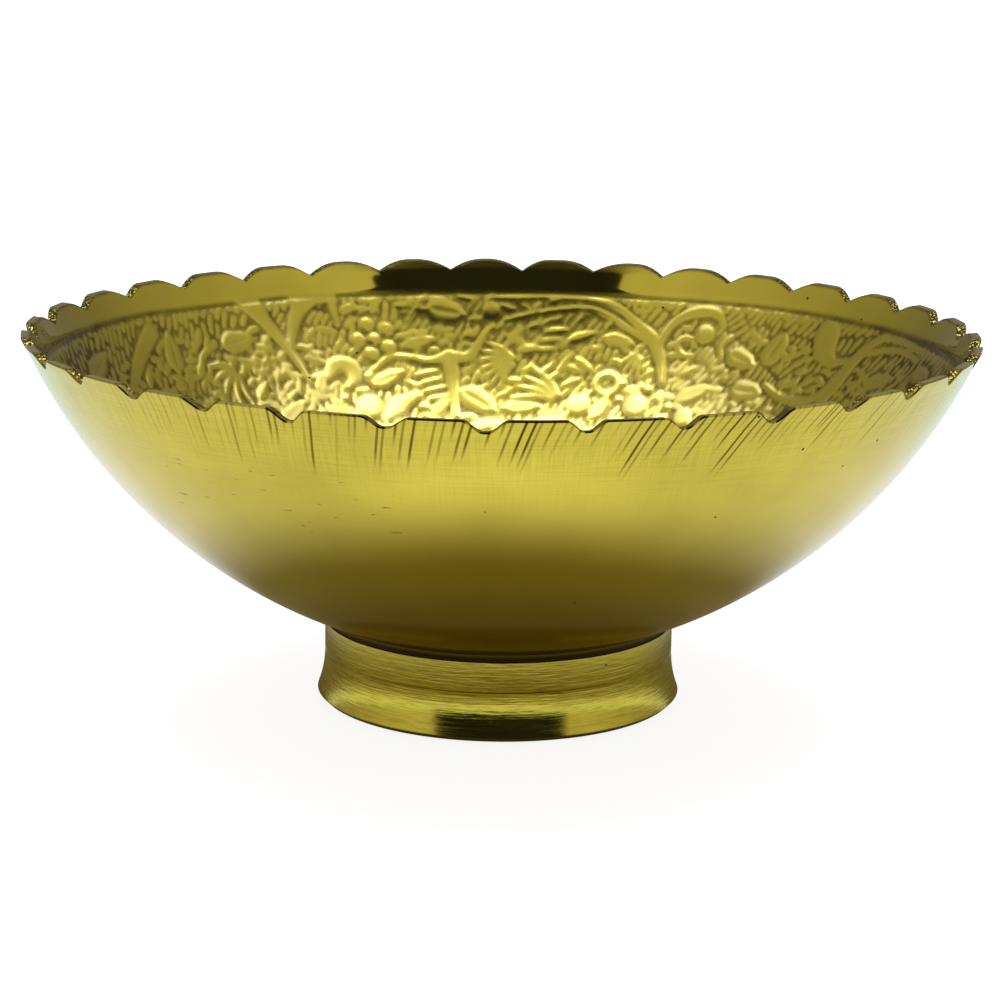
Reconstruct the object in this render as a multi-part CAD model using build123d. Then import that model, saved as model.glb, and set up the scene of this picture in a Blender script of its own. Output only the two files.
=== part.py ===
"""A cast brass footed bowl: a scalloped bowl, a turned foot ring, and the solder that joins them.

Millimetres, +Z up. The origin is the centre of the ring that the bowl stands on, so the table is at
z = 0. Azimuth 0 is the front, at -Y, and azimuth 90 is +X. Nothing on the bowl moves.
"""

import os
from math import cos, pi, sqrt

from build123d import *

# Bowl: its outside is one circular arc in the (radius, height) plane, turned round +Z.
RIM_RADIUS = 76.0
RIM_HEIGHT = 60.2
ARC_CENTRE_R = -3.3
ARC_CENTRE_Z = 93.2
ARC_RADIUS = 85.6
FLARE_HEIGHT = 3.0  # the last stretch below the rim, which leans out a little more
CAP_RADIUS = 12.0  # inside this radius the arc gives way to one centred on the axis
WALL_AT_RIM = 1.25
WALL_AT_BASE = 1.7

# Inside of the bowl: a plain lip, a groove, then the patterned field, which stands proud of the lip.
LIP_WIDTH = 6.0
GROOVE_WIDTH = 0.8
GROOVE_DEPTH = 0.3
FIELD_PROUD = 0.4

# Scallops: notches cut down through the rim.
NOTCH_COUNT = 34
FIRST_NOTCH_DEG = -1.6
NOTCH_DEPTH = 1.7
NOTCH_HALF_WIDTH = 2.5
NOTCH_ROOT_HALF = 0.5
SHOULDER_HALF_SHARE = 0.55  # how wide and how deep each notch is where its side bends, and how deep
SHOULDER_DEPTH_SHARE = 0.35  # its root starts, as shares of the notch
ROOT_DEPTH_SHARE = 0.9
DRIFT_DEG = 2.1  # hand-cut spacing runs late over part of the back
DRIFT_FIRST, DRIFT_LAST = 13, 28

# Foot ring.
FOOT_TOP_Z = 12.4
FOOT_TOP_RADIUS = 28.2
FOOT_BASE_RADIUS = 29.4
FOOT_FLARE_Z = 7.5  # the ring is straight above this height and flares below it
FOOT_CHAMFER = 0.7
FOOT_BORE_TOP = 25.2
FOOT_BORE_BASE = 26.6
CREASE_DEPTH = 0.15
CREASE_HALF = 0.2

# Solder seam and the low seat turned on the bowl's underside for the foot.
SEAM_GAP = 0.5
SEAM_RECESS = 0.3
SEAT_BLEND = 2.6  # how far outside the foot the seat blends into the bowl
BLEND_BEND_SHARE = 0.35  # how far across the blend has gone when it has risen half way
BEAD_REACH = 1.4  # solder bead inside the foot, along the bowl and down the ring
BEAD_HOLLOW = 0.18  # how far the bead's face is drawn in at its middle


def arc_z(radius, centre_z, arc_radius):
    """Height of a bowl arc at a distance from the axis."""
    return centre_z - sqrt(arc_radius**2 - (radius - ARC_CENTRE_R) ** 2)


def outer_z(radius):
    """Height of the bowl's outside at a distance from the axis."""
    return arc_z(radius, ARC_CENTRE_Z, ARC_RADIUS)


def arc_r(height, centre_z, arc_radius):
    """Distance from the axis at which a bowl arc reaches a height."""
    return ARC_CENTRE_R + sqrt(arc_radius**2 - (centre_z - height) ** 2)


def inner_arc():
    """Centre height and radius of the inside arc, from the wall at the rim and at the base."""
    rim_lean = (ARC_CENTRE_Z - RIM_HEIGHT) / ARC_RADIUS
    lift = (WALL_AT_BASE - WALL_AT_RIM) / (1 - rim_lean)
    return ARC_CENTRE_Z + lift, ARC_RADIUS - (WALL_AT_BASE - lift)


def bowl_arc(r_from, r_to, centre_z, arc_radius):
    """The stretch of a bowl arc between two distances from the axis."""
    middle = (r_from + r_to) / 2
    points = [(r, arc_z(r, centre_z, arc_radius)) for r in (r_from, middle, r_to)]
    return ThreePointArc(*points)


def cap_arc(centre_z, arc_radius):
    """The arc on the axis that carries a bowl arc smoothly across the bottom."""
    edge_z = arc_z(CAP_RADIUS, centre_z, arc_radius)
    share = CAP_RADIUS / (CAP_RADIUS - ARC_CENTRE_R)
    cap_radius = arc_radius * share
    cap_centre_z = edge_z + (centre_z - edge_z) * share
    middle = CAP_RADIUS / 2
    middle_z = cap_centre_z - sqrt(cap_radius**2 - middle**2)
    return ThreePointArc((0, cap_centre_z - cap_radius), (middle, middle_z), (CAP_RADIUS, edge_z))


def turned(edges):
    """The solid that a closed outline in the (radius, height) plane makes round +Z."""
    return revolve(Plane.XZ * make_face(edges), Axis.Z)


def notch_azimuth(index):
    """Azimuth of a notch in degrees, with the drift of hand-cut spacing."""
    even = FIRST_NOTCH_DEG + 360 / NOTCH_COUNT * index
    if not DRIFT_FIRST <= index <= DRIFT_LAST:
        return even
    turn = 2 * pi * (index - DRIFT_FIRST) / (DRIFT_LAST - DRIFT_FIRST)
    return even - DRIFT_DEG * (1 - cos(turn)) / 2


def notch_cutter():
    """One notch as a bar through the front wall: rounded shoulders and a narrow round root."""
    shoulder = (NOTCH_HALF_WIDTH * SHOULDER_HALF_SHARE, -NOTCH_DEPTH * SHOULDER_DEPTH_SHARE)
    root = (NOTCH_ROOT_HALF, -NOTCH_DEPTH * ROOT_DEPTH_SHARE)
    top = NOTCH_DEPTH
    left = ThreePointArc((-NOTCH_HALF_WIDTH, 0), (-shoulder[0], shoulder[1]), (-root[0], root[1]))
    bottom = ThreePointArc((-root[0], root[1]), (0, -NOTCH_DEPTH), root)
    right = ThreePointArc(root, shoulder, (NOTCH_HALF_WIDTH, 0))
    lid = Polyline((NOTCH_HALF_WIDTH, 0), (NOTCH_HALF_WIDTH, top), (-NOTCH_HALF_WIDTH, top),
                   (-NOTCH_HALF_WIDTH, 0))
    outline = make_face([left, bottom, right, lid])
    wall_span = 4 * WALL_AT_RIM
    front = Plane(origin=(0, -RIM_RADIUS, RIM_HEIGHT), x_dir=(1, 0, 0), z_dir=(0, -1, 0))
    return extrude(front * outline, amount=wall_span, both=True)


def bowl():
    """The cast bowl, with its seat for the foot, its plain lip and its scalloped rim."""
    inner_z, inner_radius = inner_arc()
    seat_z = FOOT_TOP_Z + SEAM_GAP
    seat_inner_r = arc_r(seat_z, ARC_CENTRE_Z, ARC_RADIUS)
    blend_r = FOOT_TOP_RADIUS + SEAT_BLEND
    blend_z = outer_z(blend_r)
    blend_middle = (FOOT_TOP_RADIUS + SEAT_BLEND * BLEND_BEND_SHARE, (seat_z + blend_z) / 2)
    flare_z = RIM_HEIGHT - FLARE_HEIGHT
    flare_r = arc_r(flare_z, ARC_CENTRE_Z, ARC_RADIUS)

    lip_top_r = arc_r(RIM_HEIGHT, inner_z, inner_radius)
    slope = (lip_top_r - ARC_CENTRE_R) / inner_radius
    lip_end_z = RIM_HEIGHT - LIP_WIDTH * slope
    lip_end_r = arc_r(lip_end_z, inner_z, inner_radius)
    normal = ((lip_end_r - ARC_CENTRE_R) / inner_radius, (lip_end_z - inner_z) / inner_radius)
    along = (normal[1], -normal[0])
    groove_floor = (
        lip_end_r + along[0] * GROOVE_WIDTH / 2 + normal[0] * GROOVE_DEPTH,
        lip_end_z + along[1] * GROOVE_WIDTH / 2 + normal[1] * GROOVE_DEPTH,
    )
    field_radius = inner_radius - FIELD_PROUD
    field_start_z = lip_end_z + along[1] * GROOVE_WIDTH
    field_start_r = arc_r(field_start_z, inner_z, field_radius)
    field_start = (field_start_r, field_start_z)

    outside = [
        cap_arc(ARC_CENTRE_Z, ARC_RADIUS),
        bowl_arc(CAP_RADIUS, seat_inner_r, ARC_CENTRE_Z, ARC_RADIUS),
        Line((seat_inner_r, seat_z), (FOOT_TOP_RADIUS, seat_z)),
        ThreePointArc((FOOT_TOP_RADIUS, seat_z), blend_middle, (blend_r, blend_z)),
        bowl_arc(blend_r, flare_r, ARC_CENTRE_Z, ARC_RADIUS),
        Line((flare_r, flare_z), (RIM_RADIUS, RIM_HEIGHT)),
    ]
    inside = [
        Line((RIM_RADIUS, RIM_HEIGHT), (lip_top_r, RIM_HEIGHT)),
        bowl_arc(lip_end_r, lip_top_r, inner_z, inner_radius),
        Line((lip_end_r, lip_end_z), groove_floor),
        Line(groove_floor, field_start),
        bowl_arc(CAP_RADIUS, field_start_r, inner_z, field_radius),
        cap_arc(inner_z, field_radius),
    ]
    cap_in = inside[-1] @ 0
    cap_out = outside[0] @ 0
    shell = turned(outside + inside + [Line(cap_in, cap_out)])
    cutter = notch_cutter()
    cutters = [Rot(0, 0, notch_azimuth(k)) * cutter for k in range(NOTCH_COUNT)]
    return shell - cutters


def foot_ring():
    """The turned ring: straight above, flared below, with a fine crease between the two."""
    flare_start = (FOOT_BASE_RADIUS, FOOT_CHAMFER)
    flare_end = (FOOT_TOP_RADIUS, FOOT_FLARE_Z - CREASE_HALF)
    rise = flare_end[1] - flare_start[1]
    spread = flare_start[0] - flare_end[0]
    flare_radius = (rise**2 + spread**2) / (2 * spread)
    middle_z = FOOT_CHAMFER + rise / 2
    drop = flare_end[1] - middle_z
    flare_middle = (FOOT_TOP_RADIUS + flare_radius - sqrt(flare_radius**2 - drop**2), middle_z)
    crease = (FOOT_TOP_RADIUS - CREASE_DEPTH, FOOT_FLARE_Z)
    above_crease = (FOOT_TOP_RADIUS, FOOT_FLARE_Z + CREASE_HALF)
    base_outer = (FOOT_BASE_RADIUS - FOOT_CHAMFER, 0)
    return turned([
        Line((FOOT_BORE_BASE, 0), base_outer),
        Line(base_outer, flare_start),
        ThreePointArc(flare_start, flare_middle, flare_end),
        Line(flare_end, crease),
        Line(crease, above_crease),
        Line(above_crease, (FOOT_TOP_RADIUS, FOOT_TOP_Z)),
        Line((FOOT_TOP_RADIUS, FOOT_TOP_Z), (FOOT_BORE_TOP, FOOT_TOP_Z)),
        Line((FOOT_BORE_TOP, FOOT_TOP_Z), (FOOT_BORE_BASE, 0)),
    ])


def solder_joint():
    """The solder: a film on the foot's top face, recessed outside, with a bead inside the ring."""
    seat_z = FOOT_TOP_Z + SEAM_GAP
    seat_inner_r = arc_r(seat_z, ARC_CENTRE_Z, ARC_RADIUS)
    seam_outer_r = FOOT_TOP_RADIUS - SEAM_RECESS
    bead_r = FOOT_BORE_TOP - BEAD_REACH
    bore_slope = (FOOT_BORE_BASE - FOOT_BORE_TOP) / FOOT_TOP_Z
    bead_foot = (FOOT_BORE_TOP + bore_slope * BEAD_REACH, FOOT_TOP_Z - BEAD_REACH)
    bead_top = (bead_r, outer_z(bead_r))
    run, rise = bead_foot[0] - bead_top[0], bead_foot[1] - bead_top[1]
    drawn_in = BEAD_HOLLOW / sqrt(run**2 + rise**2)
    bead_middle = (
        (bead_foot[0] + bead_top[0]) / 2 - rise * drawn_in,
        (bead_foot[1] + bead_top[1]) / 2 + run * drawn_in,
    )
    return turned([
        Line(bead_foot, (FOOT_BORE_TOP, FOOT_TOP_Z)),
        Line((FOOT_BORE_TOP, FOOT_TOP_Z), (seam_outer_r, FOOT_TOP_Z)),
        Line((seam_outer_r, FOOT_TOP_Z), (seam_outer_r, seat_z)),
        Line((seam_outer_r, seat_z), (seat_inner_r, seat_z)),
        bowl_arc(bead_r, seat_inner_r, ARC_CENTRE_Z, ARC_RADIUS),
        ThreePointArc(bead_top, bead_middle, bead_foot),
    ])


os.makedirs("parts", exist_ok=True)
for name, make in (("bowl", bowl), ("foot_ring", foot_ring), ("solder_joint", solder_joint)):
    export_step(make(), f"parts/{name}.step")
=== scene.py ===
"""The looks of a cast brass footed bowl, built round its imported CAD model.

Blender objects are in metres, +Z up. Shapes are worked out in millimetres and scaled by MM at the end.
Azimuth 0 is the front, at -Y, azimuth 90 is +X, and azimuth 180 is the back. On the inside of the bowl
"down" is the distance from the rim along the wall, in millimetres.
"""

import math

import bpy
import numpy as np
from mathutils import Matrix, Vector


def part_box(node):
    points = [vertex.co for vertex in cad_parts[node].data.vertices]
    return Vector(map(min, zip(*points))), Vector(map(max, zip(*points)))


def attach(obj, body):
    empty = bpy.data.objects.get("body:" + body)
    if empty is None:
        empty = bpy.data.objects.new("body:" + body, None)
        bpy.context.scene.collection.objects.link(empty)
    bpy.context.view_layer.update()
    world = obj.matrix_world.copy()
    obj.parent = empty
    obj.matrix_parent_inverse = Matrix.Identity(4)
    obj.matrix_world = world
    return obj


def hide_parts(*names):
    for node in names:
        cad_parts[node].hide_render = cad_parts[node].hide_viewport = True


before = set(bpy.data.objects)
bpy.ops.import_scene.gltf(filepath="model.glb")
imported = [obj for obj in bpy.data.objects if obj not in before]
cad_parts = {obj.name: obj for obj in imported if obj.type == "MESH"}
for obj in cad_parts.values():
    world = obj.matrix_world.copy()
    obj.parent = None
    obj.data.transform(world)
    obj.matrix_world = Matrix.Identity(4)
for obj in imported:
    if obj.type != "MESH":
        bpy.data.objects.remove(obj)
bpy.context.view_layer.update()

MM = 0.001
bowl_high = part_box("bowl")[1]
foot_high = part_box("foot_ring")[1]
solder_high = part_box("solder_joint")[1]

# The bowl's wall, as in the CAD model: circular arcs turned round the axis.
RIM_RADIUS = bowl_high.x / MM
RIM_HEIGHT = bowl_high.z / MM
ARC_CENTRE_R = -3.3
ARC_CENTRE_Z = 93.2
ARC_RADIUS = 85.6
FLARE_HEIGHT = 3.0
CAP_RADIUS = 12.0
WALL_AT_RIM = 1.25
WALL_AT_BASE = 1.7
SEAT_Z = solder_high.z / MM
FOOT_TOP_Z = foot_high.z / MM
FOOT_TOP_RADIUS = 28.2
CREASE_Z = 7.5
SEAT_BLEND = 0.6
RIM_WALL_DEG = 67
RIM_FLARE = RIM_RADIUS - (ARC_CENTRE_R + math.sqrt(ARC_RADIUS**2 - (ARC_CENTRE_Z - RIM_HEIGHT) ** 2))

# The rim's unevenness: a mean dip, a tilt from front to back and a wave. Then its scallops, which get
# deeper and rounder towards the back.
RIM_DIP = 0.25
RIM_TILT = 0.14
RIM_WAVE = 0.05
NOTCH_COUNT = 34
FIRST_NOTCH_DEG = -1.6
NOTCH_DEPTH = 1.75
NOTCH_HALF_WIDTH = 3.2
NOTCH_ROOT_HALF = 0.2
BACK_EXTRA_DEPTH = 0.15
BACK_EXTRA_WIDTH = 2.8
DRIFT_DEG = 2.1
DRIFT_FIRST, DRIFT_LAST = 13, 28

# Mesh fineness: columns round the rim and near the axis, and the spacing of rings down to LIP_END and
# below it. Rings follow the notches down to LIP_BLEND. LIP_HEIGHT is where the lip's gloss is laid out.
COLUMNS = NOTCH_COUNT * 48
FEWEST_COLUMNS = COLUMNS // 8
LIP_STEP = 0.5
LIP_END = 5.0
INNER_STEP = 0.32
LIP_BLEND = 4.5
LIP_HEIGHT = 7
RIM_BEVEL = 0.28
RIM_FALL = 0.15
SHARP_DEG = 30

# The groove that parts the plain lip from the relief wanders by GROOVE_WANDER either way.
GROOVE_DOWN = 5.9
GROOVE_WANDER = 0.7
GROOVE_DEPTH = 0.22

# Relief heights above the bare inner wall. The relief is higher by SIDE_EXTRA of itself at the two sides.
GROUND = -0.05
HATCH_TOP = 0.08
STEM_TOP = 0.1
LEAF_TOP = 0.11
FILL_TOP = 0.08
BERRY_TOP = 0.16
RIB_TOP = 0.1
VEIN_DEPTH = 0.07
SIDE_EXTRA = 0.35
HATCH_LEAN_DEG = 60
HATCH_PITCH = 1.32
SOFTENING_PASSES = 2
CAVITY_PASSES = 9
FILL_COUNT = 1200

# How far a stroke's skirt and its cover run past its edge, and a distance beyond any stroke.
STROKE_SKIRT = 0.15
COVER_EDGE = 0.7
FAR = 9.0

# The camera stands in front and a little above the rim.
CAMERA_PLACE = (0, -0.4559, 0.1373)
CAMERA_TILT_DEG = 13.05
CAMERA_ROLL_DEG = 0.7
CAMERA_LENS = 104.4


# -------- noise

def lattice(seed, size=32):
    """A block of random numbers from -1 to 1, for noise()."""
    return np.random.default_rng(seed).uniform(-1, 1, (size, size, size))


def noise(x, y, z, wavelength, seed):
    """Smooth random bumps from about -1 to 1, of a size given by wavelength."""
    block = lattice(seed)
    size = block.shape[0]
    corners, shares = [], []
    for value in (x, y, z):
        scaled = np.asarray(value, float) / wavelength
        whole = np.floor(scaled).astype(int)
        part = scaled - whole
        corners.append(whole)
        shares.append(part * part * (3 - 2 * part))
    total = 0
    for i in (0, 1):
        for j in (0, 1):
            for k in (0, 1):
                weight = 1
                for share, far in zip(shares, (i, j, k)):
                    weight = weight * (share if far else 1 - share)
                cell = [(c + far) % size for c, far in zip(corners, (i, j, k))]
                total = total + weight * block[cell[0], cell[1], cell[2]]
    return total


def smooth_step(value):
    """0 below 0, 1 above 1, and a smooth rise between."""
    value = np.clip(value, 0, 1)
    return value * value * (3 - 2 * value)


# -------- the bowl's wall

def inner_arc():
    """Centre height and radius of the inside arc."""
    rim_lean = (ARC_CENTRE_Z - RIM_HEIGHT) / ARC_RADIUS
    lift = (WALL_AT_BASE - WALL_AT_RIM) / (1 - rim_lean)
    return ARC_CENTRE_Z + lift, ARC_RADIUS - (WALL_AT_BASE - lift)


def arc_angles(centre_z, arc_radius):
    """Angles from straight down at which a bowl arc meets the rim and the rounder cap at its centre."""
    rim_angle = math.acos((centre_z - RIM_HEIGHT) / arc_radius)
    cap_angle = math.asin((CAP_RADIUS - ARC_CENTRE_R) / arc_radius)
    return rim_angle, cap_angle


def wall_point(centre_z, arc_radius, down):
    """Radius, height and inward normal of a bowl arc at a distance down from the rim."""
    rim_angle, cap_angle = arc_angles(centre_z, arc_radius)
    cap_down = (rim_angle - cap_angle) * arc_radius
    cap_share = CAP_RADIUS / (CAP_RADIUS - ARC_CENTRE_R)
    cap_radius = arc_radius * cap_share
    cap_centre_z = centre_z - arc_radius * math.cos(cap_angle) * (1 - cap_share)
    in_cap = down > cap_down
    angle = np.where(in_cap, cap_angle - (down - cap_down) / cap_radius, rim_angle - down / arc_radius)
    radius = np.where(in_cap, cap_radius * np.sin(angle), ARC_CENTRE_R + arc_radius * np.sin(angle))
    fall = np.where(in_cap, cap_radius, arc_radius) * np.cos(angle)
    height = np.where(in_cap, cap_centre_z, centre_z) - fall
    return radius, height, -np.sin(angle), np.cos(angle)


def wall_length(centre_z, arc_radius):
    """Distance from the rim to the axis along a bowl arc."""
    rim_angle, cap_angle = arc_angles(centre_z, arc_radius)
    cap_radius = arc_radius * CAP_RADIUS / (CAP_RADIUS - ARC_CENTRE_R)
    return (rim_angle - cap_angle) * arc_radius + cap_angle * cap_radius


INNER_Z, INNER_RADIUS = inner_arc()
INNER_LENGTH = wall_length(INNER_Z, INNER_RADIUS)
OUTER_LENGTH = wall_length(ARC_CENTRE_Z, ARC_RADIUS)


def notch_azimuths():
    """Azimuths of the notches in degrees: even spacing, late over part of the back."""
    index = np.arange(NOTCH_COUNT)
    turn = 2 * np.pi * (index - DRIFT_FIRST) / (DRIFT_LAST - DRIFT_FIRST)
    late = (index >= DRIFT_FIRST) & (index <= DRIFT_LAST)
    even = FIRST_NOTCH_DEG + 360 / NOTCH_COUNT * index
    return even - np.where(late, DRIFT_DEG * (1 - np.cos(turn)) / 2, 0)


def turn_between(a, b, period=360):
    """a - b in degrees, wrapped to half a period each way."""
    return (a - b + period / 2) % period - period / 2


def wall_radius(centre_z, arc_radius, height):
    """Radius of a bowl arc at a height."""
    return ARC_CENTRE_R + np.sqrt(arc_radius**2 - (centre_z - height) ** 2)


def outer_radius(height):
    """Radius of the outside at a height, with the small flare under the rim."""
    flare = RIM_FLARE * np.clip(1 - (RIM_HEIGHT - height) / FLARE_HEIGHT, 0, 1)
    return wall_radius(ARC_CENTRE_Z, ARC_RADIUS, height) + flare


def rim_drop(azimuth):
    """How far the rim lies below its full height: a gentle waviness, and hand-filed notches.

    The scallops are round at the back and flat-topped at the front.
    """
    rng = np.random.default_rng(5)
    a = np.radians(azimuth)
    drop = RIM_DIP - RIM_TILT * np.cos(a) + RIM_WAVE * np.sin(3 * a + 1.0)
    for centre in notch_azimuths():
        back = (1 - math.cos(math.radians(centre))) / 2
        depth = NOTCH_DEPTH * rng.uniform(0.88, 1.08) + BACK_EXTRA_DEPTH * back
        half = (NOTCH_HALF_WIDTH + BACK_EXTRA_WIDTH * back) * rng.uniform(0.9, 1.08)
        root = NOTCH_ROOT_HALF * (1.2 - back)
        lean = rng.uniform(-0.12, 0.12)
        across = np.radians(turn_between(azimuth, centre)) * RIM_RADIUS
        share = (np.abs(across) - root) / (half * (1 + lean * np.sign(across)) - root)
        share = np.clip(share, 0, 1)
        rounded = 0.5 + 0.5 * np.cos(math.pi * share)
        drop = drop + depth * (rounded * (1 - back) + (1 - share) ** 2 * back)
    return np.maximum(drop, 0)


# -------- relief

class Relief:
    """The cast pattern as a height over a grid of (down, azimuth), built up stroke by stroke."""

    def __init__(self, down, azimuth):
        self.down = down
        self.azimuth = azimuth
        self.mm_per_deg = np.radians(1) * wall_point(INNER_Z, INNER_RADIUS, down)[0]
        self.height = np.full((len(down), len(azimuth)), -FAR)
        self.cover = np.zeros((len(down), len(azimuth)))

    def stroke(self, path, widths, top=STEM_TOP, dome=False, period=180, edge=0.55):
        """A raised stroke along (azimuth, down) points, with a width at each point."""
        points, wide = smooth_path(path, widths)
        margin = wide.max() / 2 + 1
        (first_turn, first_down), (last_turn, last_down) = points.min(0), points.max(0)
        rows = np.where((self.down > first_down - margin) & (self.down < last_down + margin))[0]
        if not len(rows):
            return
        middle = (first_turn + last_turn) / 2
        reach = (last_turn - first_turn) / 2 + margin / max(self.mm_per_deg[rows].min(), 0.03)
        turn = turn_between(self.azimuth, middle, period)
        columns = np.where(np.abs(turn) < reach)[0]
        if not len(columns):
            return
        scale = self.mm_per_deg[rows][:, None]
        down = self.down[rows][:, None]
        turn = turn[columns][None, :]
        inside = np.full((len(rows), len(columns)), -FAR)
        share = np.full((len(rows), len(columns)), FAR)
        if len(points) == 1:
            points = np.repeat(points, 2, 0)
            wide = np.repeat(wide, 2)
        for (a0, d0), (a1, d1), w0, w1 in zip(points, points[1:], wide, wide[1:]):
            ax = (a0 - middle - turn) * scale
            ay = d0 - down
            bx = (a1 - middle - turn) * scale
            by = d1 - down
            run_x, run_y = bx - ax, by - ay
            long = run_x**2 + run_y**2 + 1e-9
            t = np.clip(-(ax * run_x + ay * run_y) / long, 0, 1)
            distance = np.hypot(ax + t * run_x, ay + t * run_y)
            half = np.maximum((w0 + (w1 - w0) * t) / 2, 0.05)
            inside = np.maximum(inside, half - distance)
            share = np.minimum(share, distance / half)
        if dome:
            height = top * (1 - np.clip(share, 0, 1) ** 4)
        else:
            height = top * smooth_step(inside / edge + STROKE_SKIRT)
        height = np.where(inside > -STROKE_SKIRT, height, -FAR)
        cells = np.ix_(rows, columns)
        self.height[cells] = np.maximum(self.height[cells], height)
        self.cover[cells] = np.maximum(self.cover[cells], smooth_step(inside / COVER_EDGE + 1))

    def cut(self, path, width, depth, period=180):
        """An engraved line, such as the vein of a leaf."""
        kept_height, kept_cover = self.height, self.cover
        self.height = np.full_like(kept_height, -FAR)
        self.cover = np.zeros_like(kept_cover)
        self.stroke(path, [width] * len(path), depth, period=period, edge=width / 2)
        self.height = kept_height - np.maximum(self.height, 0)
        self.cover = kept_cover

    def berry(self, azimuth, down, diameter, period=180):
        """A round dome."""
        self.stroke([(azimuth, down)], [diameter], min(BERRY_TOP, diameter * 0.3), dome=True, period=period)

    def leaf(self, azimuth, down, length, width, tilt=0, vein=True, period=180, top=LEAF_TOP):
        """A pointed oval that leans tilt degrees up from the horizontal, with an engraved vein."""
        scale = np.interp(down, self.down, self.mm_per_deg)
        run = -math.cos(math.radians(tilt)) / scale * length
        rise = -math.sin(math.radians(tilt)) * length
        path = [(azimuth + run * k, down + rise * k) for k in (-0.5, -0.2, 0.15, 0.5)]
        widths = [width * 0.25, width, width * 0.85, width * 0.15]
        self.stroke(path, widths, top, dome=True, period=period)
        if vein:
            line = [(azimuth + run * k, down + rise * k) for k in (-0.45, 0, 0.32)]
            self.cut(line, 0.5, VEIN_DEPTH, period=period)

    def fan(self, azimuth, down, inner, outer, first, last, count, width=1.15, period=180):
        """Ribs that spread from a point, from one lean to another, as in a fern or a split leaf."""
        scale = np.interp(down, self.down, self.mm_per_deg)
        for lean in np.linspace(first, last, count):
            bend = math.radians(lean)
            path = []
            for reach in (inner, (inner + outer) / 2, outer):
                curl = bend + (reach - inner) / outer * 0.35
                path.append((azimuth - math.cos(curl) * reach / scale, down - math.sin(curl) * reach))
            self.stroke(path, [width * 0.6, width, width * 0.4], RIB_TOP, dome=True, period=period)

    def rosette(self, azimuth, down, radius, petals, petal, period=180):
        """A ring of round petals about a berry."""
        scale = np.interp(down, self.down, self.mm_per_deg)
        for k in range(petals):
            bend = 2 * math.pi * k / petals
            at = (azimuth + math.cos(bend) * radius / scale, down + math.sin(bend) * radius)
            self.stroke([at], [petal], LEAF_TOP, dome=True, period=period)
        self.berry(azimuth, down, radius * 0.9, period=period)


def smooth_path(path, widths, parts=5):
    """Points and widths along a smooth curve through a few chosen points."""
    points = np.array(path, float)
    wide = np.array(widths, float)
    if len(points) < 3:
        return points, wide
    knots = np.vstack([2 * points[0] - points[1], points, 2 * points[-1] - points[-2]])
    made, made_wide = [], []
    for k in range(len(points) - 1):
        p0, p1, p2, p3 = knots[k:k + 4]
        for t in np.linspace(0, 1, parts, endpoint=False):
            bend = (2 * p0 - 5 * p1 + 4 * p2 - p3) * t**2 + (-p0 + 3 * p1 - 3 * p2 + p3) * t**3
            made.append(0.5 * (2 * p1 + (p2 - p0) * t + bend))
            made_wide.append(wide[k] + (wide[k + 1] - wide[k]) * t)
    made.append(points[-1])
    made_wide.append(wide[-1])
    return np.array(made), np.array(made_wide)


def back_left_motifs(relief):
    """Branches, leaves and fruit from azimuth 270 to 205."""
    relief.leaf(256, 12, 10, 4.4, 18)
    relief.stroke([(251, 18.5), (244.5, 13.2), (239, 9)], [1.6, 2.8, 3.2])
    relief.leaf(244.2, 16.4, 4.8, 1.8, 50, vein=False)
    relief.leaf(236.6, 13.4, 7.5, 4.2, 76)
    relief.leaf(232.4, 17.3, 3.6, 1.9, 50, vein=False)
    relief.stroke([(233.2, 18.6), (231, 15.2), (227.6, 13.2)], [0.8, 1.2, 0.9])
    relief.fan(225.2, 18.8, 1.2, 6.5, 150, 250, 5, 1.5)
    relief.leaf(223.3, 13.4, 6.2, 4.6, 4)
    relief.leaf(222.4, 23.4, 4.4, 2.1, 45, vein=False)
    relief.stroke([(219.4, 5.2), (217.4, 10.4), (215.4, 14.8), (213.7, 19), (213, 23)],
                  [5.4, 2.7, 2.2, 2.0, 1.1])
    relief.stroke([(209.3, 5.2), (211.9, 9.4), (213.4, 12.8), (214.6, 16)], [5.6, 2.5, 2.0, 2.0])
    relief.stroke([(212, 6.6), (205.8, 6.6)], [2.0, 2.4])
    relief.stroke([(205.9, 6.2), (205.9, 9.4), (205.7, 12)], [2.2, 1.7, 0.8])
    relief.stroke([(209.6, 22.4), (207.7, 20.2), (205.5, 20.6), (205.1, 23), (206.5, 24.8)],
                  [1.6, 3.4, 4.0, 3.0, 1.0], LEAF_TOP, dome=True)
    relief.leaf(211, 23.3, 4.2, 2.6, 70)
    relief.leaf(218.3, 28.5, 7, 3.6, 30)
    relief.leaf(236, 26, 8, 4.2, 40)
    relief.leaf(249, 25, 8, 4, 120)


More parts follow.
